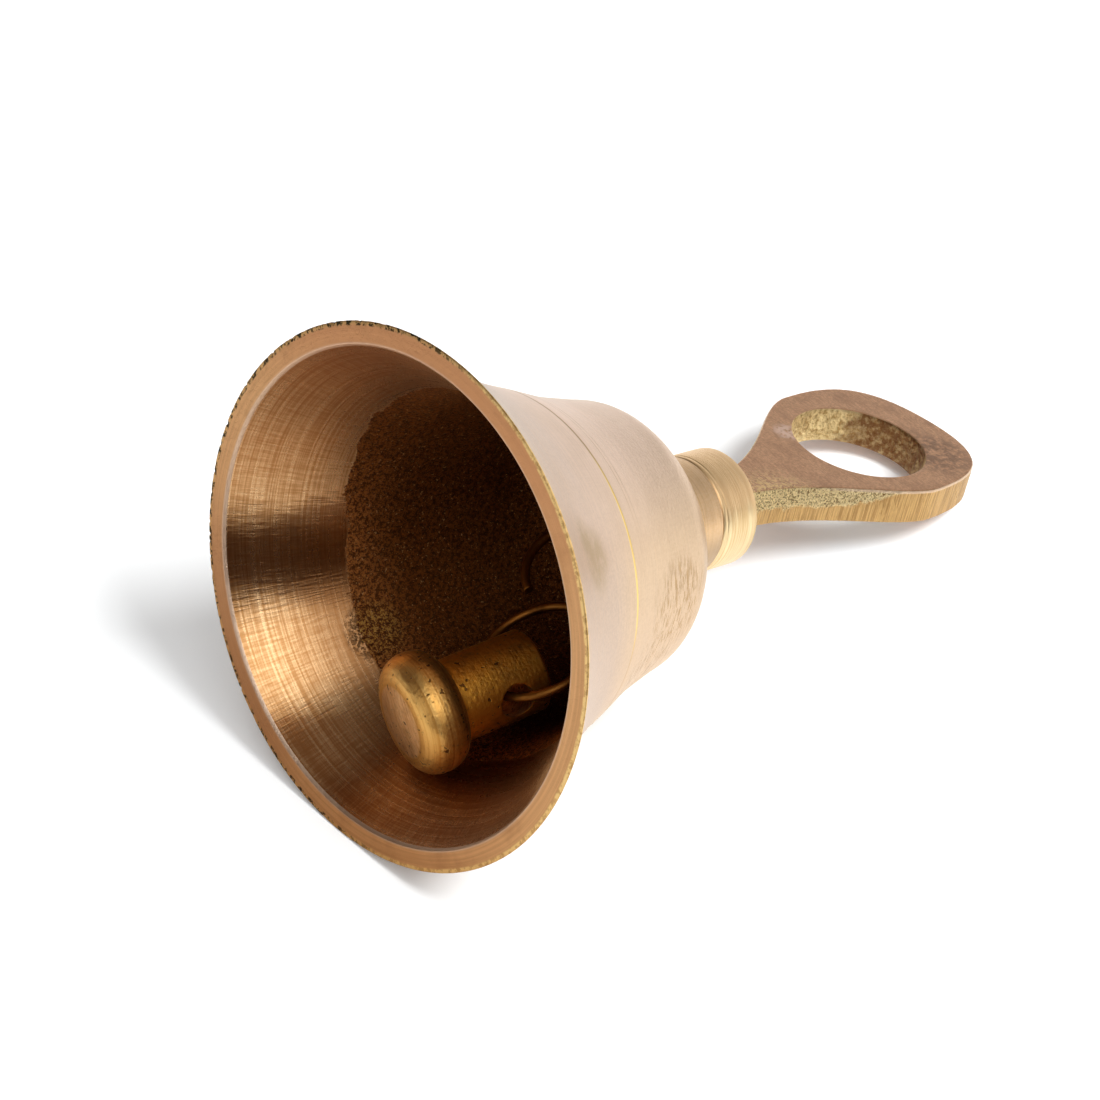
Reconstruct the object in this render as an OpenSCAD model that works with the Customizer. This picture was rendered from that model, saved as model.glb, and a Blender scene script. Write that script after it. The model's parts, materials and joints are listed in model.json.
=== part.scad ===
// Small brass hand bell for worship, lying on its rim and the tip of its ring handle.
// Every piece is drawn about the bell's own axis, +X from the mouth to the handle, with the
// flat of the handle facing +Z, and lay_down() then sets the whole bell on the floor at z = 0.

/* [Bell body] */
// Outside diameter of the mouth
mouth_d = 66; // [60:1:76]
// Width of the flat lip
lip_w = 2.9; // [2.4:0.1:3.6]
// Chamfer between the lip and the inner wall
lip_chamfer = 0.5; // [0.2:0.1:0.8]
// Height of the flared skirt
flare_len = 18; // [14:0.5:22]
// Outside diameter where the skirt meets the cone above it
waist_d = 45; // [43:0.5:48]
// Height of the cone between the skirt and the shoulder
cone_len = 16.3; // [14:0.5:20]
// Outside diameter at the foot of the shoulder
shoulder_d = 35.3; // [33:0.5:38]
// Radius of the rounded shoulder
shoulder_r = 11.1; // [10:0.1:12]
// Thickness of the cup's wall
wall = 1.7; // [1.5:0.1:2]
// Height over which the wall thickens toward the lip
lip_blend = 7; // [4:0.5:12]
// Outside diameter of the neck
neck_d = 15.4; // [14:0.2:17]
// Height of the neck above the shoulder
neck_len = 7.2; // [6:0.5:12]
// Height of the turned groove on the flank
groove_at = 19.2; // [18:0.1:24]
// Width of the turned groove
groove_w = 0.6; // [0.4:0.1:1]
// Depth of the turned groove
groove_depth = 0.2; // [0.1:0.05:0.4]

/* [Ring handle] */
// Length of the turned collar
collar_len = 6.7; // [5.5:0.1:9]
// Chamfer of the joint between collar and neck, and of the collar's end
collar_chamfer = 0.4; // [0.2:0.1:0.6]
// Width of the stem behind the collar
stem_w = 6.8; // [5:0.2:9]
// Length of the stem before it begins to widen
stem_len = 0.4; // [0.2:0.2:3]
// Thickness of the flat handle
handle_t = 4.9; // [3.8:0.1:6]
// Greatest width of the handle
eye_w = 27.6; // [26:0.2:32]
// Diameter of the eye
eye_d = 18.8; // [16:0.2:20]
// Distance from the collar to the centre of the eye
eye_reach = 29.8; // [27:0.1:33]
// Distance from the centre of the eye to the tip
eye_to_tip = 15.9; // [14:0.1:19]
// Rounding of the handle's tip, seen from the side
tip_r = 1.2; // [0.6:0.1:1.8]
// Sideways lean of the casting, degrees
handle_lean = 2.8; // [0:0.1:3]

/* [Hanger stud] */
// Thread diameter of the stud that joins handle and bell
stud_d = 6; // [5:0.5:7]
// Length of thread in the collar
stud_grip = 5.3; // [4:0.1:5.4]
// Length of the stud below the crown
stud_drop = 3.9; // [3.7:0.1:5]
// Distance from the crown to the stud's cross hole
stud_hole_drop = 2.5; // [2.2:0.1:2.6]
// Diameter of the stud's cross hole
stud_hole_d = 2.2; // [2.1:0.1:2.6]

/* [Wire] */
// Thickness of the wire
wire_d = 1.2; // [1:0.1:1.4]
// Radius of the crown hook's bend, to the middle of the wire
hook_r = 6.7; // [6:0.1:7]
// Slope of the crown hook below the bell's axis, degrees
hook_slope = 33.2; // [28:0.2:38]
// Sweep of the hook's free tail, degrees
hook_tail = 159; // [140:1:165]
// Turn of the bend on the side of the hook's eye, degrees
hook_turn = 86; // [72:1:90]
// Straight length between the bend and the hook's eye
hook_arm = 2; // [1.6:0.1:3.6]
// Radius of the hook's eye, to the middle of the wire
hook_eye_r = 2; // [1.9:0.1:2.4]
// Turn of the wire just before the eye, which brings the eye in line with the arm, degrees
hook_eye_turn = 48; // [40:1:60]
// Sweep of the eye, which stops short of closing, degrees
hook_eye_sweep = 300; // [270:2:304]
// Radius of the clapper ring, to the middle of the wire
ring_r = 7.7; // [7.4:0.1:8.2]

/* [Clapper] */
// Diameter of the shank
shank_d = 10.5; // [9:0.1:11]
// Length of the shank behind the head
shank_len = 11.7; // [10.5:0.1:13]
// Chamfer of the shank's end
shank_chamfer = 0.4; // [0.2:0.1:0.8]
// Diameter of the head
head_d = 15.3; // [14:0.1:16]
// Thickness of the head
head_len = 6.9; // [6.4:0.1:8]
// Rounding of the head's edge
head_round = 3; // [2:0.1:3.1]
// Crown of the head's front face
head_dome = 0.4; // [0.1:0.1:0.8]
// Distance of the cross hole from the head
cross_at = 6.8; // [6:0.1:7.4]
// Diameter of the cross hole
cross_d = 4.5; // [4.4:0.1:4.9]

/* [Lying pose] */
// Angle of the clapper round the bell's axis from the lowest line, degrees
clapper_side = 21.8; // [0:0.2:26]
// Angle of the clapper across the bell's axis, degrees
clapper_yaw = -11; // [-16:0.1:0]
// Gap between the resting clapper and the wall
rest_gap = 0.8; // [0.6:0.05:1]
// Further gap under the end of its shank, which the ring holds up
shank_lift = 0.3; // [0:0.05:1]
// Gap of the threads that are screwed tight
thread_gap = 0.05; // [0.02:0.01:0.1]

/* [Hidden] */
$fn = 96;

mouth_r = mouth_d / 2;
waist_r = waist_d / 2;
neck_r = neck_d / 2;
shoulder_at = flare_len + cone_len;
cone_slope = (waist_r - shoulder_d / 2) / cone_len;
cone_angle = atan(cone_slope);
flare_rise = (mouth_r - waist_r - cone_slope * flare_len) / (flare_len * flare_len);

// Centre of the shoulder's arc, along the axis and out from it
arc_at = shoulder_at - shoulder_r * sin(cone_angle);
arc_out = shoulder_d / 2 - shoulder_r * cos(cone_angle);
crown_in = arc_at + shoulder_r - wall;
neck_fillet = 0.8;
neck_from = arc_at + sqrt(pow(shoulder_r + neck_fillet, 2) - pow(neck_r + neck_fillet - arc_out, 2));
joint_at = neck_from + neck_len;
collar_end = joint_at + collar_len;
eye_at = collar_end + eye_reach;
tip_at = eye_at + eye_to_tip;

// Where the bell touches the floor: the lip's lowest point and the tip's lower corner
tilt = atan((mouth_r - handle_t / 2) / (tip_at - tip_r * (1 - sin(45))));

// Steps of a curved profile and of one turn that is searched for contact
profile_steps = 14;
contact_steps = 48;

function outer_r(s) = waist_r + cone_slope * (flare_len - s)
    + (s < flare_len ? flare_rise * pow(flare_len - s, 2) : 0);
function even_wall(s) = wall * norm([1, cone_slope + 2 * flare_rise * max(0, flare_len - s)]);
function inner_cone_r(s) = outer_r(s) - even_wall(s)
    - (lip_w - even_wall(0)) * pow(max(0, 1 - s / lip_blend), 2);
function inner_arc_r(s) = arc_out + sqrt(max(0, pow(shoulder_r - wall, 2) - pow(s - arc_at, 2)));
function inner_r(s) = s < shoulder_at - wall * sin(cone_angle) ? inner_cone_r(s) : inner_arc_r(s);

// Vectors of the bell's frame and of a piece that points some way in it
function unit(v) = v / norm(v);
function yaw_of(d) = atan2(d.y, d.x);
function pitch_of(d) = asin(d.z / norm(d));
function level_of(d) = [-sin(yaw_of(d)), cos(yaw_of(d)), 0];
function roll_of(d, side) = atan2(side * cross(unit(d), level_of(d)), side * level_of(d));
function heading(pitch, yaw) = [cos(pitch) * cos(yaw), cos(pitch) * sin(yaw), sin(pitch)];

// Puts a piece drawn along +X, with its side along +Y, at a place and in a direction
module aim(at, along, side) {
    translate(at) rotate([roll_of(along, side), -pitch_of(along), yaw_of(along)]) children();
}

// Turns a profile of [radius, height] points about the bell's axis
module turn() { rotate([90, 0, 90]) rotate_extrude() children(); }

// The whole bell lies on the floor, centred over the origin
low_x = -mouth_r * sin(tilt);
high_x = (tip_at - tip_r) * cos(tilt) + handle_t / 2 * sin(tilt) + tip_r * (cos(tilt) - sin(tilt));
module lay_down() {
    translate([-(low_x + high_x) / 2, 0, mouth_r * cos(tilt)]) rotate([0, tilt, 0]) children();
}

// The crown hook: it passes through the stud along Y, bends toward the mouth on both sides,
// and its eye stands across Y, so that the clapper ring hangs in it
hook_at = [crown_in - stud_hole_drop, 0, 0];
hook_way = [-cos(hook_slope), 0, -sin(hook_slope)];
hook_up = cross([0, 1, 0], hook_way);
hook_bow = hook_r - sqrt(hook_r * hook_r - stud_d * stud_d / 4);
bend_at = hook_at + (hook_r - hook_bow / 2) * hook_way;
arm_way = sin(hook_turn) * hook_way - cos(hook_turn) * [0, 1, 0];
arm_end = bend_at - hook_r * (cos(hook_turn) * hook_way + sin(hook_turn) * [0, 1, 0]) + hook_arm * arm_way;
eye_off = hook_eye_r * [2 * sin(hook_eye_turn), 2 * cos(hook_eye_turn) - 1];
hook_eye = arm_end + eye_off.x * arm_way + eye_off.y * hook_up;

// The clapper lies with the edge of its head and the end of its shank on the wall
out_way = [0, -sin(clapper_side), -cos(clapper_side)];
head_edge = [for (i = [0:contact_steps - 1], a = [0:8:56]) let (t = i * 360 / contact_steps,
    r = head_d / 2 - head_round + head_round * cos(a))
    [-cross_at - head_round + head_round * sin(a), r * cos(t), r * sin(t)]];
shank_edge = [for (i = [0:contact_steps - 1]) let (t = i * 360 / contact_steps)
    [shank_len - cross_at, shank_d / 2 * cos(t), shank_d / 2 * sin(t)]];
function turned(p, d) = p.x * d + p.y * level_of(d) + p.z * cross(d, level_of(d));
function slack(q, s, gap) = let (room = inner_r(s) - gap / cos(cone_angle), along = q * out_way)
    -along + sqrt(max(0, along * along - q.y * q.y - q.z * q.z + room * room));
function reach(points, s, d, gap) =
    min([for (p = points) let (q = turned(p, d)) slack([0, q.y, q.z], s + q.x, gap)]);

// Pitch at which both ends touch, by halving the interval
function lean(s, lo, hi, n) = let (mid = (lo + hi) / 2, d = heading(mid, clapper_yaw))
    n == 0 ? mid
    : reach(head_edge, s, d, rest_gap) < reach(shank_edge, s, d, rest_gap + shank_lift)
    ? lean(s, lo, mid, n - 1) : lean(s, mid, hi, n - 1);
function cross_place(s) = let (d = heading(lean(s, 0, 40, 9), clapper_yaw))
    [s, 0, 0] + reach(head_edge, s, d, rest_gap) * out_way;

// The clapper ring runs through the cross hole, bowed evenly about the hole's axis, and
// through the hook's eye, which sets how far down the wall the clapper lies
ring_bow = ring_r - sqrt(ring_r * ring_r - shank_d * shank_d / 4);
ring_span = 2 * ring_r - ring_bow / 2;
function settle(lo, hi, n) = let (mid = (lo + hi) / 2)
    n == 0 ? mid : norm(cross_place(mid) - hook_eye) > ring_span ? settle(mid, hi, n - 1) : settle(lo, mid, n - 1);
cross_s = settle(hook_eye.x - ring_span, hook_eye.x, 9);
cross_at_rest = cross_place(cross_s);
clapper_way = heading(lean(cross_s, 0, 40, 14), clapper_yaw);
ring_way = unit(hook_eye - cross_at_rest);
pin_way = unit(cross(clapper_way, ring_way));
ring_centre = hook_eye - ring_r * ring_way;

function arc(cx, cy, r, from, to, n) = [for (i = [0:n]) let (a = from + (to - from) * i / n)
    [cx + r * cos(a), cy + r * sin(a)]];
function bezier(a, b, c, d, n) = [for (i = [1:n]) let (t = i / n, u = 1 - t)
    u * u * u * a + 3 * u * u * t * b + 3 * u * t * t * c + t * t * t * d];

module bell_body() {
    dome_end = asin((neck_r + neck_fillet - arc_out) / (shoulder_r + neck_fillet));
    outside = concat(
        [for (i = [0:profile_steps]) let (s = flare_len * i / profile_steps) [outer_r(s), s]],
        [[outer_r(groove_at - groove_w / 2), groove_at - groove_w / 2],
         [outer_r(groove_at) - groove_depth, groove_at],
         [outer_r(groove_at + groove_w / 2), groove_at + groove_w / 2]],
        arc(arc_out, arc_at, shoulder_r, cone_angle, 90 - dome_end, profile_steps),
        arc(neck_r + neck_fillet, neck_from, neck_fillet, 270 - dome_end, 180, 4),
        [[neck_r, joint_at - collar_chamfer], [neck_r - collar_chamfer, joint_at]]);
    inside = concat(
        arc(arc_out, arc_at, shoulder_r - wall, 90, cone_angle, profile_steps),
        [for (i = [profile_steps:-1:1]) let (s = lip_chamfer + (flare_len - lip_chamfer) * i / profile_steps)
            [inner_cone_r(s), s]],
        [[inner_cone_r(lip_chamfer), lip_chamfer], [inner_cone_r(lip_chamfer) + lip_chamfer / 2, 0]]);
    bore = stud_d / 2 + thread_gap;
    color("peru") turn() polygon(concat(outside, [[bore, joint_at], [bore, crown_in]], inside));
}

module ring_handle() {
    half_stem = stem_w / 2;
    half_eye = eye_w / 2;
    widest = eye_reach + 0.6;
    tip = eye_reach + eye_to_tip;
    side = concat([[-collar_len / 2, half_stem], [stem_len, half_stem]],
        bezier([stem_len, half_stem], [stem_len + 0.47 * (widest - stem_len), half_stem],
            [stem_len + 0.76 * (widest - stem_len), half_eye], [widest, half_eye], 16),
        bezier([widest, half_eye], [widest + 0.56 * (tip - widest), half_eye],
            [tip, 0.88 * half_eye], [tip, 0], 14));
    other_side = [for (i = [len(side) - 2:-1:0]) [side[i].x, -side[i].y]];
    half_t = handle_t / 2;
    edge = concat([[-collar_len, -half_t]], arc(tip - tip_r, tip_r - half_t, tip_r, 270, 360, 6),
        arc(tip - tip_r, half_t - tip_r, tip_r, 0, 90, 6), [[-collar_len, half_t]]);
    color("darkgoldenrod") difference() {
        union() {
            turn() polygon([[0, joint_at], [neck_r - collar_chamfer, joint_at],
                [neck_r, joint_at + collar_chamfer], [neck_r, joint_at + 3 * collar_chamfer],
                [neck_r - collar_chamfer / 2, joint_at + 3.5 * collar_chamfer],
                [neck_r, joint_at + 4 * collar_chamfer], [neck_r, collar_end - collar_chamfer],
                [neck_r - collar_chamfer, collar_end], [0, collar_end]]);
            translate([collar_end, 0, 0]) rotate([0, 0, handle_lean]) intersection() {
                linear_extrude(handle_t, center = true) polygon(concat(side, other_side));
                rotate([90, 0, 0]) linear_extrude(eye_w + 2, center = true) polygon(edge);
            }
        }
        translate([collar_end, 0, 0]) rotate([0, 0, handle_lean]) translate([eye_reach, 0, 0])
            cylinder(h = handle_t + 2, d = eye_d, center = true);
        translate([joint_at - 1, 0, 0]) rotate([0, 90, 0])
            cylinder(h = stud_grip + 1 + thread_gap, r = stud_d / 2 + thread_gap);
    }
}

module hanger_stud() {
    end_chamfer = 0.5;
    color("goldenrod") difference() {
        turn() polygon([[0, crown_in - stud_drop], [stud_d / 2 - end_chamfer, crown_in - stud_drop],
            [stud_d / 2, crown_in - stud_drop + end_chamfer], [stud_d / 2, joint_at + stud_grip - end_chamfer],
            [stud_d / 2 - end_chamfer, joint_at + stud_grip], [0, joint_at + stud_grip]]);
        translate(hook_at) rotate([90, 0, 0]) cylinder(h = stud_d + 2, d = stud_hole_d, center = true);
    }
}

// Stations of bent wire, each a place and the two vectors that span the wire's round section
function arm_bend(from, to, n) = [for (i = [0:n]) let (a = from + (to - from) * i / n)
    [bend_at + hook_r * (cos(a) * hook_way + sin(a) * [0, 1, 0]), hook_up,
     cross(cos(a) * [0, 1, 0] - sin(a) * hook_way, hook_up)]];
function eye_bend(centre, from, to, n) = [for (i = [0:n]) let (a = from + (to - from) * i / n,
    out = cos(a) * arm_way + sin(a) * hook_up)
    [centre + hook_eye_r * out, (to > from ? -1 : 1) * out, cross(arm_way, hook_up)]];

module crown_hook() {
    sides = 16;
    stations = concat(arm_bend(180 - hook_tail, 180 + hook_turn, 30),
        eye_bend(arm_end - hook_eye_r * hook_up, 90, 90 - hook_eye_turn, 5),
        [for (i = [1:26]) eye_bend(hook_eye, 270 - hook_eye_turn, 270 - hook_eye_turn + hook_eye_sweep, 26)[i]]);
    last = (len(stations) - 1) * sides;
    color("burlywood") polyhedron(
        [for (s = stations, j = [0:sides - 1]) let (a = 360 * j / sides)
            s[0] + wire_d / 2 * (cos(a) * s[1] + sin(a) * s[2])],
        concat([[for (j = [0:sides - 1]) j]], [[for (j = [sides - 1:-1:0]) last + j]],
            [for (k = [0:sides:last - 1], j = [0:sides - 1]) let (next = (j + 1) % sides)
                [k + next, k + j, k + sides + j]],
            [for (k = [0:sides:last - 1], j = [0:sides - 1]) let (next = (j + 1) % sides)
                [k + next, k + sides + j, k + sides + next]]));
}

module clapper_ring() {
    color("burlywood") aim(ring_centre, ring_way, pin_way) rotate_extrude()
        translate([ring_r, 0]) circle(d = wire_d, $fn = 24);
}

module clapper() {
    round_from = 90 - asin(0.5);
    face = head_d / 2 - head_round;
    profile = concat([[0, -head_len]],
        [for (i = [1:6]) [face * i / 6, -head_len + head_dome * pow(i / 6, 2)]],
        arc(face, head_round + head_dome - head_len, head_round, 270, 360, 10),
        arc(face, -head_round, head_round, 0, round_from, 8),
        [[shank_d / 2, -head_round + head_round * sin(round_from)],
         [shank_d / 2, shank_len - shank_chamfer], [shank_d / 2 - shank_chamfer, shank_len], [0, shank_len]]);
    color("sienna") aim(cross_at_rest, clapper_way, pin_way) difference() {
        translate([-cross_at, 0, 0]) turn() polygon(profile);
        rotate([90, 0, 0]) cylinder(h = shank_d + 2, d = cross_d, center = true);
    }
}

lay_down() bell_body();
lay_down() ring_handle();
lay_down() hanger_stud();
lay_down() crown_hook();
lay_down() clapper_ring();
lay_down() clapper();
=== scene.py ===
import json

import bmesh
import bpy
import numpy as np
from mathutils import Matrix


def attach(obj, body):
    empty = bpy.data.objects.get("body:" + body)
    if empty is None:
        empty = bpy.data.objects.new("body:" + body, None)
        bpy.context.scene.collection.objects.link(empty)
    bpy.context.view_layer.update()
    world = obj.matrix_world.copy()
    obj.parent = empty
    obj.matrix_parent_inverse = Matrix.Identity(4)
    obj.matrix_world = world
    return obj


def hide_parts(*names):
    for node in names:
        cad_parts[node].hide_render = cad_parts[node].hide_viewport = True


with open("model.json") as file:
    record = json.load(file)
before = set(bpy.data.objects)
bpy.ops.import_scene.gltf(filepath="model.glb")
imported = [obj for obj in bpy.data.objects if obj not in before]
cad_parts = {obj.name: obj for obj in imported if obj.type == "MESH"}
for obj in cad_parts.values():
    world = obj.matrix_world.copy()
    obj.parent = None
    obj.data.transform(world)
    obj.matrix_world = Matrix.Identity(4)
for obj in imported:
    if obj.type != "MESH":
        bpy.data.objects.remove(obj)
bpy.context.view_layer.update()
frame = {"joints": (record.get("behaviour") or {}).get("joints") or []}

# Bell cup
# A cast brass cup, turned on a lathe outside, on its lip and on the first part of its inside,
# where the tool stopped at the rough sand casting. The handle's stud is screwed through its crown.
TILT = np.radians(16.6443)                     # the bell lies on its rim and the tip of its handle
REST = np.array([-0.0445752, 0, 0.0316173])    # where that puts the middle of its mouth, in metres
MOUTH_R, LIP_W, FLARE, WAIST_R, CONE = 33.0, 2.9, 18.0, 22.5, 16.3
SHOULDER_R, SHOULDER_ARC, WALL, NECK_R, JOINT = 17.65, 11.1, 1.7, 7.7, 50.1409
LIP_BLEND, FILLET, GROOVE_AT, TWINS_AT, STUD_BORE, CHIP, CUP_TURNS = 7, 0.8, 19.2, 21.9, 3.05, 0.10, 640
CONE_SLOPE = (WAIST_R - SHOULDER_R) / CONE
FLARE_RISE = (MOUTH_R - WAIST_R - CONE_SLOPE * FLARE) / FLARE**2
CONE_ANGLE = np.arctan(CONE_SLOPE)
ARC_AT = FLARE + CONE - SHOULDER_ARC * np.sin(CONE_ANGLE)
ARC_OUT = SHOULDER_R - SHOULDER_ARC * np.cos(CONE_ANGLE)


def lay_down(p):
    """Millimetres in the bell's own frame, x from the mouth to the handle, turned by the tilt
    about Y and moved to the floor, in metres."""
    p = np.asarray(p, float) / 1000
    c, s = np.cos(TILT), np.sin(TILT)
    turned = np.stack([p[..., 0] * c + p[..., 2] * s, p[..., 1], p[..., 2] * c - p[..., 0] * s], -1)
    return turned + REST


def grid_faces(rows, cols, wrap_rows=False, wrap_cols=False):
    """Quads of a grid of rows by cols points; a wrapped direction joins its last line to its first."""
    i, j = np.arange(rows - (not wrap_rows))[:, None], np.arange(cols - (not wrap_cols))
    a, b = i * cols + j, i * cols + (j + 1) % cols
    c, d = (i + 1) % rows * cols + (j + 1) % cols, (i + 1) % rows * cols + j
    return np.stack(np.broadcast_arrays(a, b, c, d), -1).reshape(-1, 4)


def face_outwards(mesh, merge=None):
    """Merges points that are closer than the distance, and turns every face outwards."""
    work = bmesh.new()
    work.from_mesh(mesh)
    if merge:
        bmesh.ops.remove_doubles(work, verts=work.verts, dist=merge)
    bmesh.ops.recalc_face_normals(work, faces=work.faces)
    work.to_mesh(mesh)
    work.free()


def surface(name, points, faces, loop_uv=None, slots=None):
    """A smooth mesh object in the row frame, from points in the bell's millimetres."""
    mesh = bpy.data.meshes.new(name)
    mesh.from_pydata(lay_down(points), [], faces)
    if loop_uv is not None:
        mesh.uv_layers.new(name="lathe").data.foreach_set("uv", np.asarray(loop_uv, float).ravel())
    if slots is not None:
        mesh.polygons.foreach_set("material_index", np.asarray(slots, int))
    mesh.polygons.foreach_set("use_smooth", np.ones(len(mesh.polygons), bool))
    face_outwards(mesh, merge=2e-7)
    piece = bpy.data.objects.new(name, mesh)
    bpy.context.scene.collection.objects.link(piece)
    return piece


def revolve(profile, turns, wrap=False):
    """Every profile point (s, r) carried round the axis: x = s, y = r cos a, z = r sin a.
    Returns points, faces and each corner's (turn, length along the profile / 100)."""
    a = np.arange(turns) * 2 * np.pi / turns
    s, r = profile[:, 0], profile[:, 1]
    x = np.broadcast_to(s[:, None], (len(s), turns))
    points = np.stack([x, r[:, None] * np.cos(a), r[:, None] * np.sin(a)], -1)
    faces = grid_faces(len(s), turns, wrap, True)
    length = np.r_[0, np.cumsum(np.hypot(*np.diff(profile, axis=0).T))] / 100
    row, col = faces // turns, faces % turns
    turn = np.where((col == 0) & (col.max(1, keepdims=True) == turns - 1), turns, col) / turns
    along = length[row]
    if wrap:
        last = (row.max(1, keepdims=True) == len(s) - 1) & (row == 0)
        along = np.where(last, length[-1] + 0.01, along)
    return points, faces, np.stack([turn, along], -1)


def round_corner(a, b, c, r, n=5):
    """Points that round the corner b between a and c: a quadratic curve from r before b to r after it."""
    a, b, c = (np.asarray(p, float) for p in (a, b, c))
    p, q = b + (a - b) * r / np.linalg.norm(a - b), b + (c - b) * r / np.linalg.norm(c - b)
    t = np.linspace(0, 1, n)[:, None]
    return (1 - t) ** 2 * p + 2 * t * (1 - t) * b + t**2 * q


def arc(centre, r, start, end, n):
    """n points (s, r) of a circle's arc from one angle to another, in degrees."""
    a = np.radians(np.linspace(start, end, n))
    return np.stack([centre[0] + r * np.sin(a), centre[1] + r * np.cos(a)], -1)


def outer_r(s):
    """A cone whose radius falls by the slope, with a square-law flare toward the mouth."""
    return WAIST_R + CONE_SLOPE * (FLARE - s) + FLARE_RISE * np.maximum(FLARE - s, 0) ** 2


def even_wall(s):
    """The wall's thickness square to the axis: the real one times the slant of the outside."""
    return WALL * np.sqrt(1 + (CONE_SLOPE + 2 * FLARE_RISE * np.maximum(FLARE - s, 0)) ** 2)


def inner_r(s):
    """The outer radius less the even wall and its thickening toward the lip, a square law."""
    return outer_r(s) - even_wall(s) - (LIP_W - even_wall(0.0)) * np.maximum(1 - s / LIP_BLEND, 0) ** 2


def ragged(angle, lowest, highest, seed):
    """A random wave round the axis: a sum of cosines of lowest to highest times the angle."""
    rng = np.random.default_rng(seed)
    k = np.arange(lowest, highest + 1)
    waves = np.cos(angle[..., None] * k + rng.uniform(0, 2 * np.pi, k.size)) * rng.normal(size=k.size)
    return waves.sum(-1) / np.sqrt(k.size)


cone_deg = np.degrees(CONE_ANGLE)
fillet_out = NECK_R + FILLET - ARC_OUT
neck_meets = 90 - np.degrees(np.arcsin(fillet_out / (SHOULDER_ARC + FILLET)))
fillet_at = ARC_AT + np.sqrt((SHOULDER_ARC + FILLET) ** 2 - fillet_out**2)
crown_in = ARC_AT + SHOULDER_ARC - WALL
deep = np.r_[np.linspace(FLARE + CONE - WALL * np.sin(CONE_ANGLE), 1.2, 33), 0.9, 0.7, 0.55]
inside = np.vstack([
    np.linspace((crown_in, 3.3), (crown_in, ARC_OUT), 6)[:-1],
    arc((ARC_AT, ARC_OUT), SHOULDER_ARC - WALL, 90, cone_deg, 12)[:-1],
    np.stack([deep, inner_r(deep)], -1)])
LIP_FROM = inner_r(0.28)
chamfer = np.array([(0.45, inner_r(0.45)), (0.34, inner_r(0.34)), (0.24, LIP_FROM + 0.03),
                    (0.05, LIP_FROM + 0.22)])
lip = np.vstack([[(0, LIP_FROM + 0.28), (0, LIP_FROM + 0.4)],
                 np.linspace((0, LIP_FROM + 0.7), (0, MOUTH_R - 0.7), 5)])
edge = round_corner((0, MOUTH_R - 2), (0, MOUTH_R), (1.5, outer_r(1.5)), 0.32, 5)
skirt = np.r_[np.linspace(0.55, 2, 4), np.linspace(2.8, 18.6, 16)]
groove = np.array([(-0.3, 0), (-0.2, -0.01), (-0.1, -0.04), (0, -0.06), (0.1, -0.04), (0.2, -0.01), (0.3, 0)])
groove[:, 0] += GROOVE_AT
groove[:, 1] += outer_r(groove[:, 0])
cone = np.linspace(20.2, ARC_AT + SHOULDER_ARC * np.sin(CONE_ANGLE), 12)
fillet = np.radians(np.linspace(neck_meets, 90, 5))[1:]
outside = np.vstack([
    np.stack([skirt, outer_r(skirt)], -1), groove, np.stack([cone, outer_r(cone)], -1)[:-1],
    arc((ARC_AT, ARC_OUT), SHOULDER_ARC, cone_deg, neck_meets, 18),
    np.stack([fillet_at - FILLET * np.cos(fillet), NECK_R + FILLET - FILLET * np.sin(fillet)], -1),
    np.linspace((fillet_at + 0.6, NECK_R), (JOINT - 0.75, NECK_R), 7)])
# The turner took a little more off the cone than off the shoulder above it
outside[:, 1] += 0.28 * np.exp(-((outside[:, 0] - 36) / 2.2) ** 2)
outside[:, 1] -= 0.42 * np.exp(-((outside[:, 0] - 26) / 5) ** 2)
joint = np.array([(JOINT - 0.55, NECK_R - 0.02), (JOINT - 0.35, NECK_R), (JOINT - 0.22, NECK_R),
                  (JOINT, NECK_R - 0.2), (JOINT, STUD_BORE), (crown_in + 0.2, STUD_BORE)])
cup_profile = np.vstack([inside, chamfer, lip, edge, outside, joint])
cup_points, cup_faces, cup_uv = revolve(cup_profile, CUP_TURNS, wrap=True)
# Chips along the lip's outer corner, more of them on the side where it is not worn bright
from_corner = np.hypot(cup_profile[:, 0], cup_profile[:, 1] - MOUTH_R)[:, None]
around = np.arange(CUP_TURNS) * 2 * np.pi / CUP_TURNS
rough_side = np.clip(np.cos(around - 0.1) * 1.3 + 0.35, 0, 1)
chips = CHIP * (np.clip(ragged(around, 20, 260, 5) - 0.35, 0, 1.2) + 0.12) * rough_side
cup_points[..., 0] += chips * np.exp(-(from_corner / 0.4) ** 2)
cup_points[..., 1:] *= (1 - chips * np.exp(-(from_corner / 0.6) ** 2) / MOUTH_R)[..., None]
row = np.minimum((cup_faces // CUP_TURNS).min(1), len(cup_profile) - 1)
material_starts = np.cumsum([len(inside) + 1, len(chamfer) + len(lip) + 1])
cup = surface("cup", cup_points.reshape(-1, 3), cup_faces, cup_uv, np.digitize(row, material_starts))
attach(cup, "bell")
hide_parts("bell_body")


def join(node, inputs):
    """Sets a node's inputs, each to a constant or to another node's output. These helpers all
    work in the node tree that was started last."""
    for key, value in inputs.items():
        if isinstance(value, bpy.types.NodeSocket):
            tree.links.new(value, node.inputs[key])
        else:
            node.inputs[key].default_value = value
    return node


def put(kind, inputs=None, **settings):
    """Adds a node with these inputs and settings."""
    node = tree.nodes.new("ShaderNode" + kind)
    for key, value in settings.items():
        setattr(node, key, value)
    return join(node, inputs or {})


def calc(operation, *values, clamp=False):
    """A Math node's value."""
    return put("Math", dict(enumerate(values)), operation=operation, use_clamp=clamp).outputs[0]


def plus(a, b):
    """a + b."""
    return calc("ADD", a, b)


def minus(a, b):
    """a - b."""
    return calc("SUBTRACT", a, b)


def either(a, b):
    """The greater of a and b."""
    return calc("MAXIMUM", a, b)


def product(*values):
    """The values multiplied together."""
    result = values[0]
    for value in values[1:]:
        result = calc("MULTIPLY", result, value)
    return result


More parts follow.
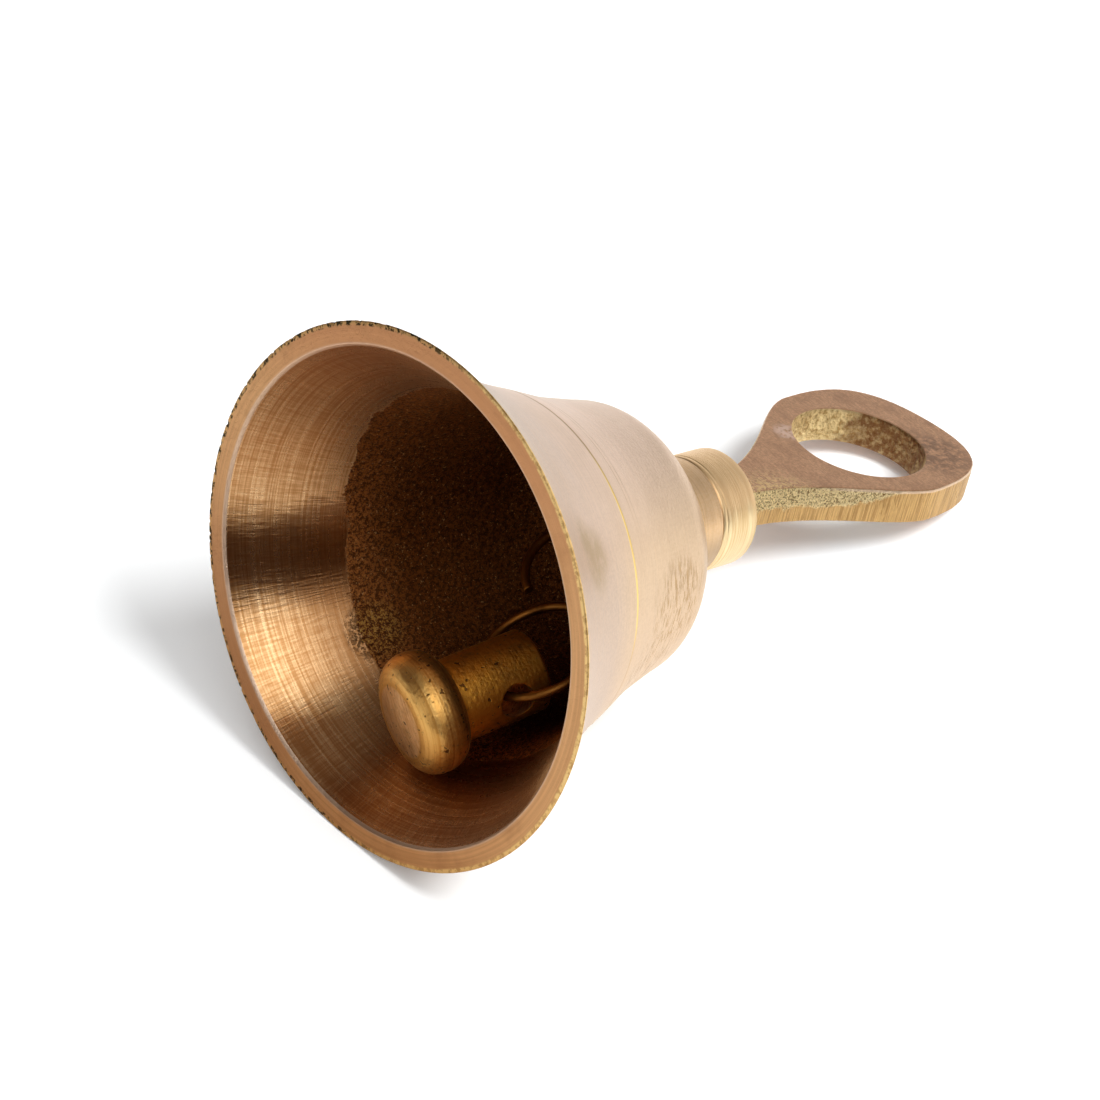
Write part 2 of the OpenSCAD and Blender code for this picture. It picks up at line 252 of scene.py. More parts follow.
def off_middle(value, share, middle=0.5):
    """How far a value is above its middle, times a share."""
    return product(minus(value, middle), share)


def vector(operation, a, b=None):
    """A Vector Math node's result; b is the other vector, or the factor that scales a."""
    inputs = {0: a}
    if b is not None:
        inputs["Scale" if operation == "SCALE" else 1] = b
    measured = operation in ("LENGTH", "DISTANCE", "DOT_PRODUCT")
    return put("VectorMath", inputs, operation=operation).outputs["Value" if measured else "Vector"]


def axes(where):
    """A place's three coordinates."""
    return put("SeparateXYZ", {0: where}).outputs


def fade(value, low, high, to_low=0.0, to_high=1.0):
    """A smooth step from to_low to to_high as value goes from low to high."""
    inputs = {"Value": value, "From Min": low, "From Max": high, "To Min": to_low, "To Max": to_high}
    return put("MapRange", inputs, interpolation_type="SMOOTHSTEP").outputs[0]


def noise(place, scale, detail=3.0, rough=0.55):
    """A Noise Texture's value."""
    inputs = {"Vector": place, "Scale": scale, "Detail": detail, "Roughness": rough}
    return put("TexNoise", inputs).outputs[0]


def patches(place, scale, detail, rough, low, high):
    """Noise made into patches: 0 where it is under low, 1 where it is over high."""
    return fade(noise(place, scale, detail, rough), low, high)


def spot(where, centre, reach, firm=0.35):
    """A soft round patch: 1 near a place in the bell's millimetres, 0 from the reach on."""
    return fade(vector("DISTANCE", where, centre), reach, firm * reach)


def blend(factor, a, b):
    """A Mix node's colour; a colour is three numbers or another node's output."""
    a, b = ((*c, 1) if isinstance(c, tuple) else c for c in (a, b))
    return put("Mix", {0: factor, 6: a, 7: b}, data_type="RGBA").outputs[2]


def over(colour, tone, *shares):
    """The colour with a tone laid over it, as far as the product of the shares says."""
    return blend(product(*shares), colour, tone)


def bump(height, strength, depth, under=None, sunk=False):
    """A Bump node's normal: a height in metres of depth, raised or sunk, over the normal under it."""
    inputs = {"Height": height, "Strength": strength, "Distance": depth}
    if under is not None:
        inputs["Normal"] = under
    return put("Bump", inputs, invert=sunk).outputs[0]


def start_material(name):
    """A new metal with a Principled BSDF, and the bell's own millimetres from Object coordinates."""
    global tree
    material = bpy.data.materials.new(name)
    material.use_nodes = True
    tree = material.node_tree
    shader = tree.nodes["Principled BSDF"]
    shader.inputs["Metallic"].default_value = 1
    inputs = {"Vector": put("TexCoord").outputs["Object"], "Location": tuple(REST),
              "Rotation": (0, TILT, 0), "Scale": (0.001, 0.001, 0.001)}
    where = put("Mapping", inputs, vector_type="TEXTURE")
    return material, shader, where.outputs[0]


def brush(shader, amount):
    """Stretches the gloss across the lathe's lines, which run along the unwrapped u."""
    tangent = put("Tangent", direction_type="UV_MAP", uv_map="lathe").outputs[0]
    join(shader, {"Anisotropic": amount, "Anisotropic Rotation": 0.25, "Tangent": tangent})


def finish(shader, colour, rough, normal):
    """Gives the shader its colour, roughness and normal."""
    join(shader, {"Base Color": colour, "Roughness": rough, "Normal": normal})


def profile_length():
    """Millimetres along a turned profile, from the unwrapped v."""
    return product(axes(put("UVMap", uv_map="lathe").outputs[0])[1], 100.0)


def new_group(name, inputs, outputs):
    """Starts a node group with these inputs, each a (name, kind) pair, and these number outputs."""
    global tree
    tree = bpy.data.node_groups.new(name, "ShaderNodeTree")
    for label, kind in inputs:
        tree.interface.new_socket(label, in_out="INPUT", socket_type="NodeSocket" + kind)
    for label in outputs:
        tree.interface.new_socket(label, in_out="OUTPUT", socket_type="NodeSocketFloat")
    return tree, tree.nodes.new("NodeGroupInput").outputs, tree.nodes.new("NodeGroupOutput")


def use_group(group, inputs):
    """Places a group in a material."""
    node = tree.nodes.new("ShaderNodeGroup")
    node.node_tree = group
    return join(node, inputs).outputs


def lathe_lines(where, along, per_mm, waver, hatch):
    """The marks of the lathe's tool on a turned surface."""
    return use_group(lathe, {"Along": along, "Where": where, "Lines per mm": per_mm, "Waver": waver,
                             "Hatch": hatch})


def cast_skin(where, grain):
    """Sand-cast skin with grains of this size in millimetres."""
    return use_group(casting, {"Where": where, "Grain mm": grain})


def stains(where, patch, amount=0.5):
    """Tarnish with patches of this size in millimetres."""
    return use_group(tarnish, {"Where": where, "Patch mm": patch, "Amount": amount})["Mask"]


# Lines left by the lathe tool: noise stretched round the axis, fine for the height and coarser
# for the tone. The hatch is noise stretched along the profile, where the tool chattered.
lathe, given, out = new_group(
    "lathe lines", [("Along", "Float"), ("Where", "Vector"), ("Lines per mm", "Float"), ("Waver", "Float"),
                    ("Hatch", "Float")], ["Height", "Tone", "Hatch"])
heading = vector("NORMALIZE", vector("MULTIPLY", given["Where"], (0, 1, 1)))
waver = vector("SCALE", heading, given["Waver"])
for label, share, detail in (("Height", 1.0, 3.0), ("Tone", 0.5, 4.0)):
    step = product(given["Along"], given["Lines per mm"], share)
    place = vector("ADD", waver, put("CombineXYZ", {0: step}).outputs[0])
    join(out, {label: noise(place, 1.0, detail, 0.65)})
chatter = vector("SCALE", heading, given["Hatch"])
slow = put("CombineXYZ", {0: product(given["Along"], 0.3)}).outputs[0]
join(out, {"Hatch": noise(vector("ADD", chatter, slow), 1.0, 3.0, 0.6)})

# Sand-cast skin: round grains with pits between them
casting, given, out = new_group("cast skin", [("Where", "Vector"), ("Grain mm", "Float")], ["Height", "Pits"])
near = vector("SCALE", given["Where"], calc("DIVIDE", 1.0, given["Grain mm"]))
cells = put("TexVoronoi", {"Vector": near, "Scale": 1.0, "Randomness": 1.0}).outputs["Distance"]
lumps = noise(near, 0.45, 4.0, 0.65)
join(out, {"Height": minus(product(lumps, 1.4), product(cells, 0.5))})
join(out, {"Pits": patches(near, 0.8, 3.0, 0.6, 0.58, 0.7)})

# Tarnish: soft patches of several sizes
tarnish, given, out = new_group(
    "tarnish", [("Where", "Vector"), ("Patch mm", "Float"), ("Amount", "Float")], ["Mask"])
near = vector("SCALE", given["Where"], calc("DIVIDE", 1.0, given["Patch mm"]))
low = minus(0.78, product(given["Amount"], 0.5))
above_low = minus(noise(near, 0.7, 5.0, 0.6), low)
join(out, {"Mask": calc("DIVIDE", above_low, 0.16, clamp=True)})

# Struck edge of the lip: gold beads where it is worn, dark pits where it is not
struck, given, out = new_group("struck edge", [("Where", "Vector")], ["Beads", "Pits"])
worn = fade(axes(given["Where"])[1], 4.0, -12.0)
beads = patches(given["Where"], 0.85, 3.0, 0.7, 0.40, 0.56)
join(out, {"Beads": product(beads, worn)})
pitted = patches(given["Where"], 1.3, 4.0, 0.7, 0.49, 0.56)
join(out, {"Pits": product(pitted, minus(1.0, worn))})

# Turned outside: satin, pinkish on the skirt, yellower on the cone and neck, with painted light that
# makes the top paler and rosier, with clouds and specks, and a neck that is darker below. It has fine
# lines, one groove with a painted highlight, gold where it catches the light, two faint lines beside
# it, a stain on the skirt, chatter marks on the shoulder's side, a fine peel above them, and a struck edge at
# the lip.
turned_out, shader, where = start_material("turned_outside")
along, at = profile_length(), axes(where)
lines = lathe_lines(where, along, 8.0, 0.9, 110.0)
tone = fade(plus(lines["Tone"], off_middle(lines["Hatch"], 0.2)), 0.34, 0.66)
skirt_tint = blend(tone, (0.555, 0.41, 0.31), (0.625, 0.465, 0.35))
cone_tint = blend(tone, (0.67, 0.475, 0.30), (0.745, 0.54, 0.35))
neck_tint = blend(tone, (0.74, 0.465, 0.235), (0.88, 0.59, 0.325))
painted_top_light_tint = blend(tone, (0.86, 0.635, 0.50), (0.98, 0.745, 0.60))
colour = blend(fade(at[0], 12.0, 21.0), skirt_tint, cone_tint)
colour = blend(fade(at[0], 41.0, 43.5), colour, neck_tint)
# Painted light: the top is made paler and rosier, where the outside looks brightest
colour = over(colour, painted_top_light_tint, fade(at[2], 9.0, 22.0), fade(at[0], 5.0, 22.0, 0.1, 1.0))
colour = over(colour, (0.60, 0.42, 0.27), patches(where, 0.16, 4.0, 0.6, 0.40, 0.62), 0.14)
colour = over(colour, (0.98, 0.76, 0.55), patches(where, 2.6, 3.0, 0.7, 0.36, 0.64), 0.16)
colour = over(colour, (0.34, 0.25, 0.17), fade(at[0], 41.0, 43.0), fade(at[2], 3.5, -1.0), 0.6)
blot = patches(where, 0.5, 3.0, 0.6, 0.10, 0.60)
stained = either(spot(where, (9.2, -21.2, 15.2), 5.0), spot(where, (7.0, -20.0, 17.5), 3.5))
colour = over(colour, (0.42, 0.29, 0.13), blot, stained, 0.6)
in_groove = minus(1.0, fade(calc("ABSOLUTE", minus(at[0], GROOVE_AT)), 0.12, 0.28))
# Painted highlight: the groove is gold where it catches the light, most near one place and on top
gold = blend(spot(where, (19.2, -18.2, 12.0), 15.0, 0.45), (0.62, 0.42, 0.25), (1.0, 0.72, 0.25))
colour = over(colour, gold, in_groove, fade(at[2], -4.0, 8.0, 0.45, 1.0))
twins = calc("ABSOLUTE", minus(calc("ABSOLUTE", minus(at[0], TWINS_AT)), 0.35))
twins = minus(1.0, fade(twins, 0.03, 0.13))
colour = over(colour, (0.52, 0.33, 0.16), twins, spot(where, (22, -6, 20.5), 17.0), blot, 0.6)
heading = vector("NORMALIZE", vector("MULTIPLY", where, (0, 1, 1)))
dash_step = put("CombineXYZ", {0: product(along, 3.4)}).outputs[0]
dash_place = vector("ADD", vector("SCALE", heading, 9.0), dash_step)
dashes = patches(dash_place, 1.0, 4.0, 0.7, 0.50, 0.60)
chattered = either(spot(where, (30.0, -18.6, 2.0), 8.5), spot(where, (26.0, -18.5, -6.0), 9.0))
marked = product(dashes, chattered)
colour = over(colour, (0.46, 0.26, 0.09), marked, 0.75)
edge_marks = use_group(struck, {"Where": where})
colour = over(colour, (0.74, 0.46, 0.17), fade(at[0], 0.75, 0.35))
colour = over(colour, (1.0, 0.70, 0.29), edge_marks["Beads"], fade(at[0], 0.9, 0.5))
colour = over(colour, (0.10, 0.07, 0.025), edge_marks["Pits"], fade(at[0], 0.7, 0.4))
satin = either(fade(lines["Tone"], 0.3, 0.7, 0.30, 0.40), fade(at[0], 0.9, 0.5, 0.0, 0.5))
peel = product(noise(where, 2.4, 4.0, 0.6), spot(where, (31, -8, 17), 17.0, 0.1))
normal = bump(peel, 0.7, 0.00013, bump(lines["Height"], 0.5, 0.00004))
finish(shader, colour, satin, bump(marked, 0.5, 0.00006, normal, sunk=True))
brush(shader, 0.6)

# Lip: machined flat, orange-brown, redder at the top and with painted shade at the lower left, with a pale
# line along its inner corner and the struck edge outside
lip_metal, shader, where = start_material("turned_lip")
along, at = profile_length(), axes(where)
out_from = vector("LENGTH", vector("MULTIPLY", where, (0, 1, 1)))
lines = lathe_lines(where, along, 7.0, 1.6, 90.0)
colour = blend(fade(lines["Tone"], 0.35, 0.65), (0.66, 0.355, 0.155), (0.79, 0.445, 0.205))
colour = over(colour, (0.68, 0.32, 0.145), fade(at[2], 12.0, 28.0, 0.0, 0.8))
# Painted shade: the lower left of the lip is darkened, where it mirrors the shadowed floor
colour = over(colour, (0.45, 0.20, 0.09), fade(at[2], 2.0, -12.0), fade(at[1], 4.0, 18.0), 0.6)
colour = over(colour, (0.46, 0.22, 0.09), stains(where, 5.0), 0.4)
colour = over(colour, (0.86, 0.66, 0.50), fade(out_from, LIP_FROM + 0.60, LIP_FROM + 0.10, 0.0, 0.8))
edge_marks = use_group(struck, {"Where": where})
colour = over(colour, (0.70, 0.43, 0.16), fade(out_from, MOUTH_R - 0.75, MOUTH_R - 0.4, 0.0, 0.8))
colour = over(colour, (1.0, 0.70, 0.29), edge_marks["Beads"], fade(out_from, MOUTH_R - 0.8, MOUTH_R - 0.5))
colour = over(colour, (0.05, 0.035, 0.012), edge_marks["Pits"], fade(out_from, MOUTH_R - 0.8, MOUTH_R - 0.6))
normal = bump(lines["Height"], 0.4, 0.00004)
normal = bump(minus(edge_marks["Beads"], edge_marks["Pits"]), 0.5, 0.00003, normal)
finish(shader, colour, 0.42, normal)

# Inside: turned near the mouth and sand-cast deeper, with a jagged edge where the tool left off.
# The turned part has painted shade at the top, below the softbox's reflection, in a band above it,
# and deeper in on the lower side. The casting has painted shade far in and painted light beside the
# turned part, more toward the bottom. One place low on the right is pitted, and golden beyond the tool's
# edge.
TOOL_REACH, MID_WALL_R = 12.6, 28.0
inside_metal, shader, where = start_material("inside_wall")
along, at = profile_length(), axes(where)
lines = lathe_lines(where, along, 8.0, 0.8, 105.0)
skin = cast_skin(where, 0.2)
reach = plus(TOOL_REACH, off_middle(noise(where, 0.12, 2.0, 0.5), 5.0))
reach = plus(reach, off_middle(noise(where, 2.0, 4.0, 0.7), 1.6))
cast = fade(minus(at[0], reach), -0.08, 0.08)
tone = fade(plus(product(lines["Tone"], 0.65), product(lines["Hatch"], 0.35)), 0.40, 0.60)
turned = blend(tone, (0.64, 0.32, 0.12), (1.0, 0.65, 0.34))
# Painted shade: the turned part is darker toward the top
turned = over(turned, (0.27, 0.105, 0.045), fade(at[2], -10.0, 34.0, 0.0, 0.72))


def up_the_wall(y_share, z_share, middle):
    """How far the wall stands out in one direction square to the axis, jagged by the hatch."""
    stands = calc("DIVIDE", plus(product(at[1], y_share), product(at[2], z_share)), MID_WALL_R)
    return plus(stands, off_middle(lines["Hatch"], 0.34, middle))


# Painted shade below the softbox's reflection, with an edge made jagged by the hatch
shade_below_reflection = fade(up_the_wall(-0.34, -0.94, 0.5), 0.66, 0.70)
turned = over(turned, (0.36, 0.125, 0.035), shade_below_reflection, fade(tone, 0.0, 1.0, 0.76, 0.57))
# Painted shade: a dark band in the reflection above the softbox's bright sector
off_shade_band = minus(calc("ABSOLUTE", up_the_wall(0.342, 0.94, 0.48)), fade(at[0], 3.0, 10.0, 0.0, 0.10))
turned = over(turned, (0.20, 0.07, 0.025), fade(off_shade_band, 0.17, 0.10), fade(at[1], 2.0, 10.0), 0.56)
# Painted shade: darker deeper into the cup, on the lower side
deeper = fade(at[0], 2.5, 10.5, 0.0, 0.72)
turned = over(turned, (0.28, 0.12, 0.04), deeper, fade(at[2], -2.0, -9.0))
pitted = spot(where, (14.6, 14.2, -16.2), 4.6)
pit = product(patches(where, 2.6, 3.0, 0.7, 0.48, 0.56), pitted)
turned = over(turned, (0.05, 0.03, 0.008), pit, 0.9)
grains = fade(skin["Height"], 0.25, 0.65)
sand = blend(grains, (0.08, 0.024, 0.0055), (0.25, 0.080, 0.017))
sand = over(sand, (0.03, 0.009, 0.002), skin["Pits"], 0.4)
# Painted shade far inside the cup, on the casting
painted_deep_shade = either(spot(where, (22.0, -8.0, 18.0), 28.0, 0.2), spot(where, (18.0, -12.0, -18.0), 20.0, 0.3))
sand = over(sand, (0.035, 0.012, 0.005), painted_deep_shade, 0.75)
# Painted light on the casting beside the turned part, more toward the bottom
painted_lit_sand = blend(grains, (0.13, 0.04, 0.009), (0.60, 0.23, 0.062))
sand = over(sand, painted_lit_sand, fade(at[0], 22.0, 12.5), fade(at[2], 12.0, -6.0, 0.15, 0.85))
sand = over(sand, (0.70, 0.44, 0.11), fade(skin["Height"], 0.42, 0.58), pitted, 0.6)
sand = over(sand, (0.95, 0.60, 0.28), patches(where, 3.6, 1.0, 0.5, 0.68, 0.72), 0.45)
sheen = plus(0.31, product(tone, -0.04))
rough = put("Mix", {0: cast, 2: sheen, 3: 0.50}, data_type="FLOAT").outputs[0]
smooth_part = minus(1.0, cast)
normal = bump(product(lines["Height"], smooth_part), 0.6, 0.00003)
normal = bump(product(lines["Hatch"], smooth_part), 0.6, 0.00004, normal)
normal = bump(pit, 1.0, 0.00015, normal, sunk=True)
normal = bump(product(skin["Height"], cast), 1.0, 0.00016, normal)
finish(shader, blend(cast, turned, sand), rough, normal)
brush(shader, 0.94)
for metal in (inside_metal, lip_metal, turned_out):
    cup.data.materials.append(metal)

# Ring handle
# One brass casting: a turned collar that is screwed onto the stud, a stem, and a flat ring.
# Its two faces are ground, and its edges are left as cast, with file marks along the lower half.
COLLAR_END, EYE_REACH, EYE_R, TIP_REACH = JOINT + 6.7, 29.8, 9.4, 45.7
STEM_W, STEM_LEN, ROOT, EYE_HALF, PLATE, LEAN = 3.4, 0.4, -1.2, 13.8, 2.45, np.radians(2.8)
EYE_AT = COLLAR_END + EYE_REACH
RIM_POINTS, EYE_FROM, FACE_ROWS, WALL_ROWS, CORNER_ROWS, EYE_ROWS = 210, 78, 14, 14, 6, 11
ROOT_COLS, WAVES, COLLAR_TURNS = 14, 14, 200
WALL_FROM = FACE_ROWS - 1
WALL_TO = WALL_FROM + WALL_ROWS + 2 * CORNER_ROWS


def bezier(a, b, c, d, n):
    """n points of a cubic Bezier curve."""
    t = np.linspace(0, 1, n)[:, None]
    a, b, c, d = (np.array(p, float) for p in (a, b, c, d))
    return (1 - t) ** 3 * a + 3 * (1 - t) ** 2 * t * b + 3 * (1 - t) * t**2 * c + t**3 * d


def spread(path, n):
    """The path resampled to n points an even distance apart."""
    d = np.r_[0, np.cumsum(np.hypot(*np.diff(path, axis=0).T))]
    at = np.linspace(0, d[-1], n)
    return np.stack([np.interp(at, d, path[:, k]) for k in (0, 1)], -1)


widest = EYE_REACH + 0.6
rim_line = spread(np.vstack([
    np.linspace((ROOT, STEM_W), (STEM_LEN, STEM_W), 8)[:-1],
    bezier((STEM_LEN, STEM_W), (STEM_LEN + 0.47 * (widest - STEM_LEN), STEM_W),
           (STEM_LEN + 0.76 * (widest - STEM_LEN), EYE_HALF), (widest, EYE_HALF), 60)[:-1],
    bezier((widest, EYE_HALF), (widest + 0.56 * (TIP_REACH - widest), EYE_HALF),
           (TIP_REACH, 0.88 * EYE_HALF), (TIP_REACH, 0), 50)]), RIM_POINTS)
# The matching inner line: down the middle of the stem, then half way round the eye
inner_t = np.linspace(0, 1, RIM_POINTS)
split = inner_t[EYE_FROM]
half_turn = np.pi * (1 - np.clip((inner_t - split) / (1 - split), 0, 1))
down_stem = ROOT + (EYE_REACH - EYE_R - ROOT) * inner_t / split
inner_line = np.stack([np.where(inner_t < split, down_stem, EYE_REACH + EYE_R * np.cos(half_turn)),
                       np.where(inner_t < split, 0, EYE_R * np.sin(half_turn))], -1)
outward = np.gradient(rim_line, axis=0)
outward = np.stack([-outward[:, 1], outward[:, 0]], -1) / np.linalg.norm(outward, axis=1, keepdims=True)
outward[-1] = (1, 0)
outward *= np.sign((outward * (rim_line - inner_line)).sum(1, keepdims=True) + 1e-9)


def half_handle(side, seed):
    """One half of the plate. Across: from the inner line over the top face, down the wall, and
    back under the bottom face. The wall's offset inwards = draft (near the root, growing upwards)
    + rounded corners + a random wave, which dies out at the tip, where the halves meet."""
    rng = np.random.default_rng(seed)
    t = np.linspace(0, 1, RIM_POINTS)
    phase = rng.uniform(0, 6.3, WAVES)
    drop = np.radians(np.linspace(0, 90, CORNER_ROWS))
    upright = np.linspace(PLATE - 0.6, -PLATE + 0.6, WALL_ROWS)
    height = np.concatenate([PLATE - 0.35 * (1 - np.cos(drop)), upright, -PLATE + 0.4 * (1 - np.sin(drop))])
    corner = np.concatenate([0.3 * (1 - np.sin(drop)), 0 * upright, 0.4 * (1 - np.cos(drop))])
    root = np.clip(1 - (rim_line[:, 0] - 3) / 26, 0, 1) * np.clip((rim_line[:, 0] + 1) / 5, 0, 1)
    settle = np.clip((1 - t) / 0.03, 0, 1)
    wall = []
    for z, inset in zip(height, corner):
        wave = sum(np.cos(t * (9 + 8 * i) * 6.3 + z * (1 + 0.5 * i) + phase[i]) for i in range(WAVES)) / WAVES
        draft = 0.75 * root * np.clip(z / PLATE + 0.1, 0, 1.1) + 0.07 * wave * settle + inset
        wall.append(np.column_stack([rim_line - outward * draft[:, None], np.full(RIM_POINTS, z)]))
    top, bottom = (np.column_stack([inner_line, np.full(RIM_POINTS, z)]) for z in (PLATE, -PLATE))
    above = [top + (wall[0] - top) * k for k in np.linspace(0, 1, FACE_ROWS)[:-1]]
    below = [bottom + (wall[-1] - bottom) * k for k in np.linspace(1, 0, FACE_ROWS)[1:]]
    return np.array(above + wall + below) * (1, side, 1)


def leaned(p):
    """The plate's own frame turned by the lean about the collar's end, in the bell's frame."""
    c, s = np.cos(LEAN), np.sin(LEAN)
    x, y, z = p[..., 0], p[..., 1], p[..., 2]
    return np.stack([COLLAR_END + x * c - y * s, x * s + y * c, z], -1)


handle_points, handle_faces, handle_slots = [], [], []


def add_to_handle(points, faces, slots):
    """Adds points and their faces to the handle, under one material or one for each face."""
    base = sum(len(p) for p in handle_points)
    handle_points.append(points.reshape(-1, 3))
    handle_faces.append(faces + base)
    handle_slots.append(np.broadcast_to(slots, len(faces)))


def add_sheet(points, slots):
    """Adds a grid of points to the handle."""
    add_to_handle(points, grid_faces(*points.shape[:2]), slots)


GROUND, CAST_EDGE, EYE_WALL, COLLAR = range(4)
for side, seed in ((1, 3), (-1, 4)):
    sheets = half_handle(side, seed)
    rows = np.repeat(np.arange(len(sheets) - 1), RIM_POINTS - 1)
    add_sheet(leaned(sheets), np.where((rows > WALL_FROM + 1) & (rows < WALL_TO - 2), CAST_EDGE, GROUND))
    root_edge = sheets[WALL_FROM:WALL_TO, 0]
    share = np.linspace(0, 1, ROOT_COLS)[:, None, None]
    add_sheet(leaned(root_edge * (1, 0, 1) + share * root_edge * (0, 1, 0)), CAST_EDGE)
on_eye = inner_line[EYE_FROM:]
eye_side = np.vstack([on_eye, (on_eye * (1, -1))[::-1][1:]])
levels = np.linspace(PLATE, -PLATE, EYE_ROWS)
eye_wave = 0.06 * ragged(np.arctan2(eye_side[:, 1], eye_side[:, 0] - EYE_REACH), 5, 60, 8)
swell = np.sin(np.pi * np.arange(EYE_ROWS) / (EYE_ROWS - 1))[:, None, None] * eye_wave[:, None]
eye_ring = eye_side + (eye_side - (EYE_REACH, 0)) / EYE_R * swell
eye_height = np.broadcast_to(levels[:, None, None], (*eye_ring.shape[:2], 1))
add_sheet(leaned(np.concatenate([eye_ring, eye_height], -1)), EYE_WALL)
collar_profile = np.array([
    (5.3, 0), (5.3, 3.1), (0, 3.1), (0, 7.45), (0.02, 7.5), (0.16, 7.66), (0.24, 7.7), (0.62, 7.7),
    (0.7, 7.68), (0.78, 7.6), (0.84, 7.6), (0.92, 7.68), (1.0, 7.7), (2.6, 7.7), (3.6, 7.69),
    (4.6, 7.7), (5.6, 7.69), (6.2, 7.68), (6.3, 7.62), (6.64, 7.3), (6.7, 7.2), (6.7, 5.0), (6.7, 2.0),
    (6.7, 0)])
collar_points, collar_faces, _ = revolve(collar_profile + (JOINT, 0), COLLAR_TURNS)
add_to_handle(collar_points, collar_faces, COLLAR)
handle = surface("handle", np.vstack(handle_points), np.vstack(handle_faces),
                 slots=np.concatenate(handle_slots))
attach(handle, "bell")
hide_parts("ring_handle")


def drawn_out(where, turn, scale):
    """The place turned and divided by a scale for each axis, so that noise is drawn out there."""
    inputs = {"Vector": where, "Rotation": turn, "Scale": scale}
    return put("Mapping", inputs, vector_type="TEXTURE").outputs[0]


# Ground face: copper-brown, with scratches from a grinder across it, grit, a worn pale place by
# the eye, a dark end, and the gold of the casting showing through next to the collar
ground, shader, where = start_material("ground_face")
scratch = noise(drawn_out(where, (0, 0, np.radians(-101)), (2.6, 0.10, 0.4)), 1.0, 4.0, 0.7)
streak = noise(drawn_out(where, (0, 0, np.radians(-94)), (5.0, 1.1, 1.0)), 1.0, 4.0, 0.65)
colour = blend(fade(scratch, 0.34, 0.66), (0.58, 0.31, 0.16), (0.84, 0.51, 0.305))
colour = over(colour, (0.42, 0.215, 0.11), patches(where, 3.0, 3.0, 0.75, 0.40, 0.62), 0.46)
colour = over(colour, (0.42, 0.215, 0.11), fade(streak, 0.46, 0.66, 0.0, 0.3))
colour = over(colour, (0.40, 0.21, 0.11), stains(where, 3.0), 0.4)
dark_end = spot(where, (95.0, -5.0, 2.4), 8.0)
colour = over(colour, (0.24, 0.13, 0.075), dark_end, patches(where, 0.9, 4.0, 0.7, 0.40, 0.58), 0.7)
grains = fade(cast_skin(where, 0.36)["Height"], 0.36, 0.52)
showing = product(spot(where, (COLLAR_END + 7.0, -5.0, 2.4), 8.5, 0.2), grains)
colour = over(colour, (0.93, 0.68, 0.32), showing, 0.85)
rubbed = spot(where, (78.6, 7.6, 2.4), 2.8)
colour = over(colour, (0.92, 0.68, 0.55), rubbed, patches(where, 1.2, 3.0, 0.55, 0.38, 0.55), 0.8)
normal = bump(showing, 0.8, 0.0002, bump(scratch, 0.7, 0.00007))
finish(shader, colour, fade(scratch, 0.3, 0.7, 0.42, 0.55), normal)

# Cast edge: gold grains with dark crevices above, upright file marks below, and a thin pale burr
# along the top where the grains give out
edge_metal, shader, where = start_material("cast_edge")
at = axes(where)
skin = cast_skin(where, 0.27)
upright = put("Mapping", {"Vector": where, "Scale": (4.6, 4.6, 0.12)}).outputs[0]
filed = noise(upright, 1.0, 4.0, 0.65)
limit = fade(at[0], COLLAR_END + 17, COLLAR_END + 30, -0.1, 3.4)
height = plus(at[2], off_middle(noise(where, 0.7), 2.2))
lower = fade(minus(height, limit), 0.25, -0.25)
sparkle = noise(where, 3.6, 3.0, 0.8)
colour = blend(fade(sparkle, 0.36, 0.54), (0.26, 0.13, 0.035), (1.0, 0.81, 0.44))
colour = over(colour, (0.14, 0.07, 0.02), skin["Pits"], 0.7)
file_marks = blend(fade(filed, 0.34, 0.66), (0.40, 0.225, 0.08), (0.72, 0.46, 0.19))
colour = over(colour, file_marks, lower)
burr = fade(at[2], PLATE - 0.5, PLATE - 0.25)
colour = over(colour, (0.95, 0.72, 0.52), burr, fade(at[0], COLLAR_END + 12, COLLAR_END + 20), 0.8)
grainy = product(plus(skin["Height"], sparkle), minus(1.0, lower))
normal = bump(product(filed, lower), 0.9, 0.0002, bump(grainy, 1.0, 0.0005))
finish(shader, colour, 0.42, normal)

# Eye wall: lumpy gold, dark brown with gold flecks toward the tip
eye_metal, shader, where = start_material("eye_wall")
toward_tip = plus(axes(where)[0], off_middle(noise(where, 0.5, 3.0), 7.0))
toward_tip = fade(toward_tip, EYE_AT + 3.5, EYE_AT + 8.0)
lumps = noise(where, 1.5, 4.0, 0.65)
colour = blend(fade(lumps, 0.32, 0.58), (0.55, 0.35, 0.13), (1.0, 0.80, 0.42))
colour = over(colour, (0.40, 0.23, 0.07), stains(where, 2.0, 0.55), 0.35)
between_flecks = fade(noise(where, 1.2, 4.0, 0.7), 0.66, 0.42, 0.62, 1.0)
colour = over(colour, (0.19, 0.075, 0.027), toward_tip, between_flecks, 0.94)
lumpy = plus(lumps, product(cast_skin(where, 0.75)["Height"], 0.3))
finish(shader, colour, 0.45, bump(lumpy, 0.8, 0.0004))

# Collar: bright yellow, finely turned, browner above
collar_metal, shader, where = start_material("turned_collar")
at = axes(where)
lines = lathe_lines(where, at[0], 6.0, 0.8, 20.0)
colour = blend(fade(lines["Tone"], 0.35, 0.65), (0.80, 0.55, 0.27), (0.98, 0.79, 0.47))
above = fade(plus(at[2], product(noise(where, 0.4, 3.0), 3.0)), 3.5, 7.5)
colour = over(colour, (0.98, 0.64, 0.33), above, 0.8)
finish(shader, colour, 0.36, bump(lines["Height"], 1.0, 0.00009))
for metal in (ground, edge_metal, eye_metal, collar_metal):
    handle.data.materials.append(metal)

